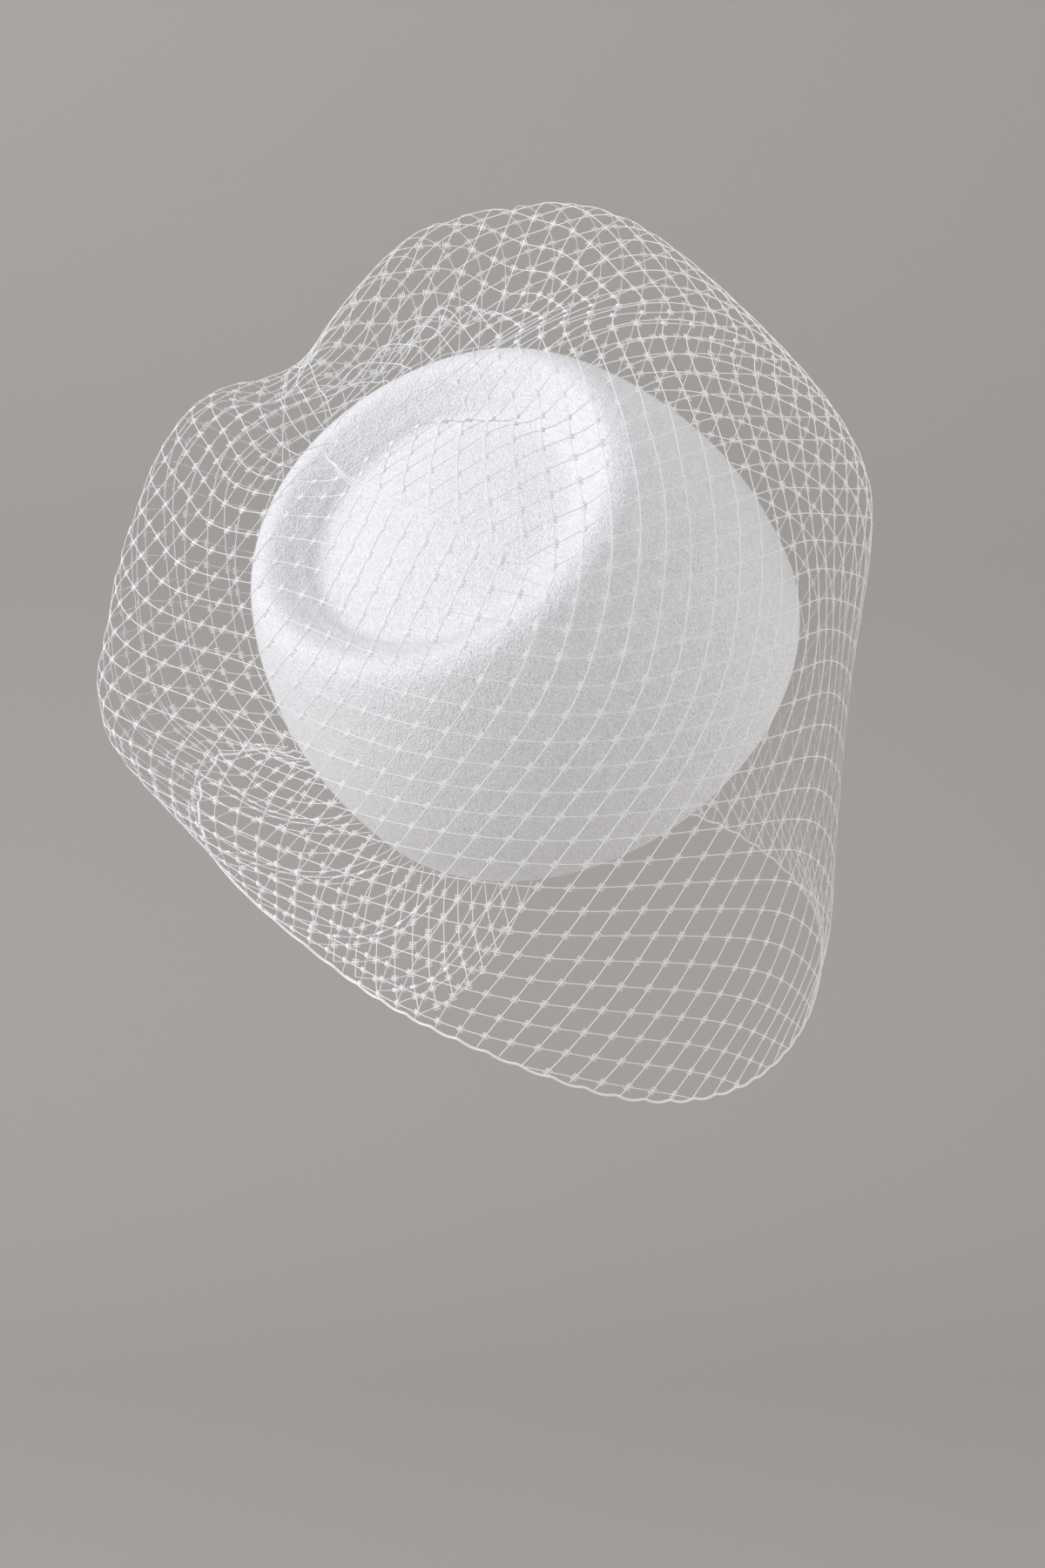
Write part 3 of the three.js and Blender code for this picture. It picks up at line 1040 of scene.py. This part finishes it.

# %% [markdown]
# ## Ladder knots
# Where two threads of this netting cross, they are not tied but bound by a tiny ladder of four short bars.
# From afar a ladder is a dot, close up it is what makes the net look right. One ladder is built in the
# tree and put on every crossing but those pulled shut round the tack, turned by two directions that each
# crossing carries: the way of its steep thread and the way out of the veil.

# %% Ladder knots
KNOTS_FROM = 0.12
BARS = 4
BAR_LENGTH = 2.3
BAR_WIDTH = 0.38
BAR_STEP = 0.72
BAR_SIDES = 4


def knot_host():
    """Points that carry the two directions of their knots, apart from those pulled shut round the tack."""
    points = np.array([point for point, _ in knots.values()])
    spots = np.array([spot for _, spot in knots.values()])
    open_knots = bell.share[bell.triangles[spots]].mean(axis=1) > KNOTS_FROM
    points, spots = points[open_knots], spots[open_knots]
    steep, _ = thread_ways(steep_count, level_count)
    host = new_piece("knot_points", np.concatenate([points, tucked_knots]) * MM, (), None)
    along = np.concatenate([steep[spots], tucked_along])
    out = np.concatenate([bell.normal[spots], tucked_out])
    for name, vectors in (("along", along), ("out", out)):
        layer = host.data.attributes.new(name, "FLOAT_VECTOR", "POINT")
        layer.data.foreach_set("vector", vectors.astype(np.float32).ravel())
    return host


def named_vector(tree, name):
    return tree.node("GeometryNodeInputNamedAttribute", {"data_type": "FLOAT_VECTOR"}, {"Name": name})


def knot_tree():
    tree = Tree("ladder_knots")
    length = tree.size("Bar length", BAR_LENGTH * MM)
    radius = tree.size("Bar radius", BAR_WIDTH / 2 * MM)
    rod = {"Vertices": BAR_SIDES, "Radius": radius, "Depth": length}
    bar = tree.node("GeometryNodeMeshCylinder", None, rod)
    laid = {"Geometry": bar, "Rotation": (0.0, math.pi / 2, 0.0)}
    lying = tree.node("GeometryNodeTransform", None, laid)
    start = (0.0, -BAR_STEP * (BARS - 1) / 2 * MM, 0.0)
    rungs = {"Count": BARS, "Start Location": start, "Offset": (0.0, BAR_STEP * MM, 0.0)}
    line = tree.node("GeometryNodeMeshLine", None, rungs)
    ladder = tree.node("GeometryNodeInstanceOnPoints", None, {"Points": line, "Instance": lying})
    facing = {"Vector": named_vector(tree, "out")}
    outward = tree.node("FunctionNodeAlignRotationToVector", {"axis": "Z"}, facing)
    turned = {"Rotation": outward, "Vector": named_vector(tree, "along")}
    rotation = tree.node("FunctionNodeAlignRotationToVector", {"axis": "Y", "pivot_axis": "Z"}, turned)
    placed = {"Points": tree.inputs.outputs["Geometry"], "Instance": ladder, "Rotation": rotation}
    tree.finish(tree.node("GeometryNodeInstanceOnPoints", None, placed), thread)
    return tree


def add_knots():
    host = knot_host()
    piece = knot_tree().grow(host, "veil_knots")
    bpy.data.objects.remove(host)
    return piece


veil_knots = add_knots()
print("knots:", triangles(veil_knots), "triangles")

# %% [markdown]
# ## Hem, seam and tack
# The net's long edge is a selvage: a thicker cord that loops from thread to thread, so the hem is faintly
# scalloped. The two short ends of the strip are caught together by a thread up the back. Inside the dish
# the net is drawn together along the pleat and held by a few stitches.

# %% Selvage, seam and stitches
SELVAGE_WIDTH = 0.95
SEAM_WIDTH = 0.42
SCALLOPS = 62
SCALLOP_DEPTH = 1.1
HEM_STEPS = 620
HEM_BAND = (0.97, 1.0)
SEAM_FROM = 0.05
SEAM_STEPS = 120
PLEAT_THREADS = 3
PLEAT_SPREAD = 14.0
PLEAT_FROM = 0.12
PLEAT_STEPS = 40
STITCHES = 3
STITCH_STEPS = 9
STITCH_REACH = 1.5
STITCH_GROWTH = 0.25
STITCH_RISE = 0.9


def hem_line():
    turn = np.linspace(0, 1, HEM_STEPS)
    above, hem = veil_points(SEAM_TURN + turn, np.array(HEM_BAND))
    loops = SCALLOP_DEPTH * np.abs(np.sin(math.pi * SCALLOPS * turn))
    return hem + unit(hem - above) * loops[:, None]


def seam_line():
    share = np.linspace(SEAM_FROM, 1, SEAM_STEPS)
    return veil_points(np.array([SEAM_TURN]), share)[:, 0]


def pleat_lines():
    """Threads that lie side by side along the pleat and spread apart towards its end."""
    lines = []
    along = np.linspace(PLEAT_FROM, 1, PLEAT_STEPS)
    share = along * PLEAT_END
    turn = pleat_turn(share)
    for number in range(PLEAT_THREADS):
        side = number / (PLEAT_THREADS - 1) - 0.5
        spread = turn + side * PLEAT_SPREAD * along / ROUND_THE_VEIL
        places = zip(spread, share)
        points = [veil_points(np.array([bearing]), np.array([down]))[0, 0] for bearing, down in places]
        lines.append(np.array(points))
    return lines


def stitch_lines():
    """Short arches of thread that cross over the tack."""
    lines = []
    arch = np.linspace(-1, 1, STITCH_STEPS)
    for number in range(STITCHES):
        bearing = math.pi * number / STITCHES
        way = np.array([math.cos(bearing), math.sin(bearing), 0])
        reach = STITCH_REACH + STITCH_GROWTH * number
        flat = tack_upright + way * (arch * reach)[:, None]
        rise = NET_CLEARANCE + STITCH_RISE * (1 - arch**2)
        lines.append(np.array([clear_of_felt(lean(point), lift) for point, lift in zip(flat, rise)]))
    return lines


veil_hem = add_tubes("veil_hem", [hem_line()], SELVAGE_WIDTH)
veil_seam = add_tubes("veil_seam", [seam_line()], SEAM_WIDTH)
veil_gather = add_tubes("veil_gather", pleat_lines() + stitch_lines(), THREAD_WIDTH)
print("hem, seam and gather:", [triangles(piece) for piece in (veil_hem, veil_seam, veil_gather)])

# %% [markdown]
# ## Riding on the frame
# Nothing on this hat moves, so every piece rides on the one body. The new crown stands for the solid one,
# and the threads, knots, hem and stitches together stand for the solid veil. Threads this fine throw no
# shadow that shows under a broad lamp, so they are left out of the shadows, which keeps the felt behind
# them free of grain.

# %% Pieces and bodies
for piece in (felt_crown, felt_nap):
    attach(piece, "root")
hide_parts("crown")
for piece in (veil_net, veil_tuck, veil_knots, veil_hem, veil_seam, veil_gather):
    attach(piece, "root")
    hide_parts("veil")
    piece.visible_shadow = False

# %% [markdown]
# ## Stage and light
# White net needs something a little darker behind it, so the hat hangs before a plain sweep of pale warm
# grey, well clear of it. One large soft lamp stands high on the left, which lights the dish and leaves the
# near wall of the crown in gentle shade. A weak lamp on the right, a weaker warm one low in front on the
# left, the pale floor and an even grey world keep that shade open.

# %% Sweep
SWEEP_GREY = (0.40, 0.38, 0.36, 1)
SWEEP_ROUGHNESS = 0.95
SWEEP_FLOOR = -1.0
SWEEP_BACK = 1.5
SWEEP_BEND = 0.6
BEND_STEPS = 24
SWEEP_HIGH = 2.2
SWEEP_HALF = 3.0


def beside_hat(right, away, up):
    """A place counted to the right of the hat, away from the camera and up."""
    cosine, sine = math.cos(CAMERA_TURN), math.sin(CAMERA_TURN)
    return right * cosine - away * sine, right * sine + away * cosine, up


def sweep_material():
    material, shader, _ = new_material("grey_sweep")
    shader.inputs["Base Color"].default_value = SWEEP_GREY
    shader.inputs["Roughness"].default_value = SWEEP_ROUGHNESS
    return material


def sweep_section():
    near = [(-SWEEP_HALF, SWEEP_FLOOR)]
    turn = np.linspace(-math.pi / 2, 0, BEND_STEPS)
    far = SWEEP_BACK - SWEEP_BEND
    bend = [(far + SWEEP_BEND * math.cos(a), SWEEP_FLOOR + SWEEP_BEND * (1 + math.sin(a))) for a in turn]
    return near + bend + [(SWEEP_BACK, SWEEP_HIGH)]


def add_sweep():
    """A floor that bends up into a backdrop, square to the camera."""
    section = sweep_section()
    sides = (-SWEEP_HALF, SWEEP_HALF)
    vertices = [beside_hat(side, away, height) for away, height in section for side in sides]
    faces = [(2 * row, 2 * row + 1, 2 * row + 3, 2 * row + 2) for row in range(len(section) - 1)]
    sweep = new_piece("sweep", vertices, faces, sweep_material())
    for face in sweep.data.polygons:
        face.use_smooth = True
    return sweep


print("sweep:", len(add_sweep().data.polygons), "faces")

# %% Lights
# Place to the right of the hat, away from the camera and up, then width, power and colour.
LAMPS = {
    "key": ((-1.4, -0.3, 1.0), 2.2, 47.0, (0.93, 0.94, 1.0)),
    "side": ((1.5, -0.3, 0.0), 1.4, 17.0, (1.0, 0.99, 0.98)),
    "bounce": ((-0.7, -0.6, -0.8), 1.2, 5.0, (1.0, 0.94, 0.90)),
}
WORLD_GREY = (0.96, 0.96, 0.97, 1)
WORLD_STRENGTH = 0.36


def add_lamp(name, place, width, power, colour):
    data = bpy.data.lights.new(name, "AREA")
    data.size = width
    data.energy = power
    data.color = colour
    lamp = bpy.data.objects.new(name, data)
    lamp.location = beside_hat(*place)
    lamp.rotation_euler = (-lamp.location).to_track_quat("-Z", "Y").to_euler()
    scene.collection.objects.link(lamp)
    return lamp


def set_world():
    world = bpy.data.worlds.new("studio")
    world.use_nodes = True
    background = world.node_tree.nodes["Background"]
    background.inputs["Color"].default_value = WORLD_GREY
    background.inputs["Strength"].default_value = WORLD_STRENGTH
    scene.world = world


for name, lamp in LAMPS.items():
    add_lamp(name, *lamp)
set_world()
scene.view_settings.view_transform = "Standard"
print("lamps:", list(LAMPS))
